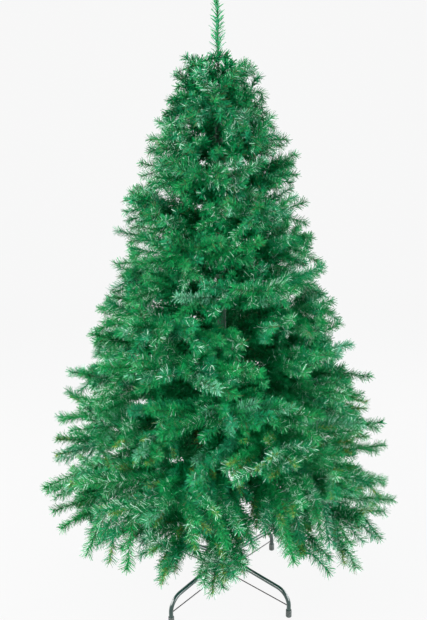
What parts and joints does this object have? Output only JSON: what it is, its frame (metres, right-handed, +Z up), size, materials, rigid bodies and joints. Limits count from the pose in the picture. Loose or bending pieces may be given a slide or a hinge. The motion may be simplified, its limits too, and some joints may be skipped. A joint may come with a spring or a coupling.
{
  "type": "artificial christmas tree",
  "caption": "Undecorated artificial Christmas tree: tiers of green needle branches on a slim steel pole, held in a folding tube stand with wire stays and rubber foot caps.",
  "frame": {"origin": "on the floor, under the middle of the pole and between the stand's feet", "axes": "+Z up along the pole; -Y towards the front, which two of the four legs flank at 45 degrees; +X to the viewer's right"},
  "size_m": [1.05, 0.9993, 1.8],
  "materials": {
    "needles": "satin plastic film",
    "pole": "satin",
    "stand": "gloss",
    "stays": "dull",
    "foot_caps": "matte"
  },
  "bodies": {
    "root": {"pole": "pole", "branch_1_1": "needles", "branch_1_2": "needles", "branch_1_3": "needles", "branch_1_4": "needles", "branch_1_5": "needles", "branch_2_1": "needles", "branch_2_2": "needles", "branch_2_3": "needles", "branch_2_4": "needles", "branch_2_5": "needles", "branch_3_1": "needles", "branch_3_2": "needles", "branch_3_3": "needles", "branch_3_4": "needles", "branch_4_1": "needles", "branch_4_2": "needles", "branch_4_3": "needles", "branch_4_4": "needles", "branch_5_1": "needles", "branch_5_2": "needles", "branch_5_3": "needles", "branch_5_4": "needles", "branch_6_1": "needles", "branch_6_2": "needles", "branch_6_3": "needles", "branch_7_1": "needles", "branch_7_2": "needles", "branch_7_3": "needles", "branch_8_1": "needles", "branch_8_2": "needles", "branch_8_3": "needles", "branch_9_1": "needles", "branch_9_2": "needles", "branch_9_3": "needles", "branch_10_1": "needles", "branch_10_2": "needles", "branch_10_3": "needles", "branch_11_1": "needles", "branch_11_2": "needles", "branch_11_3": "needles", "branch_12_1": "needles", "branch_12_2": "needles", "branch_12_3": "needles", "leader": "needles", "stand_sleeve": "stand", "leg_front_right": "stand", "cap_front_right": "foot_caps", "stay_front_right": "stays", "leg_back_right": "stand", "cap_back_right": "foot_caps", "stay_back_right": "stays", "leg_back_left": "stand", "cap_back_left": "foot_caps", "stay_back_left": "stays", "leg_front_left": "stand", "cap_front_left": "foot_caps", "stay_front_left": "stays", "screw_right": "stays", "screw_left": "stays"}
  },
  "joints": []
}
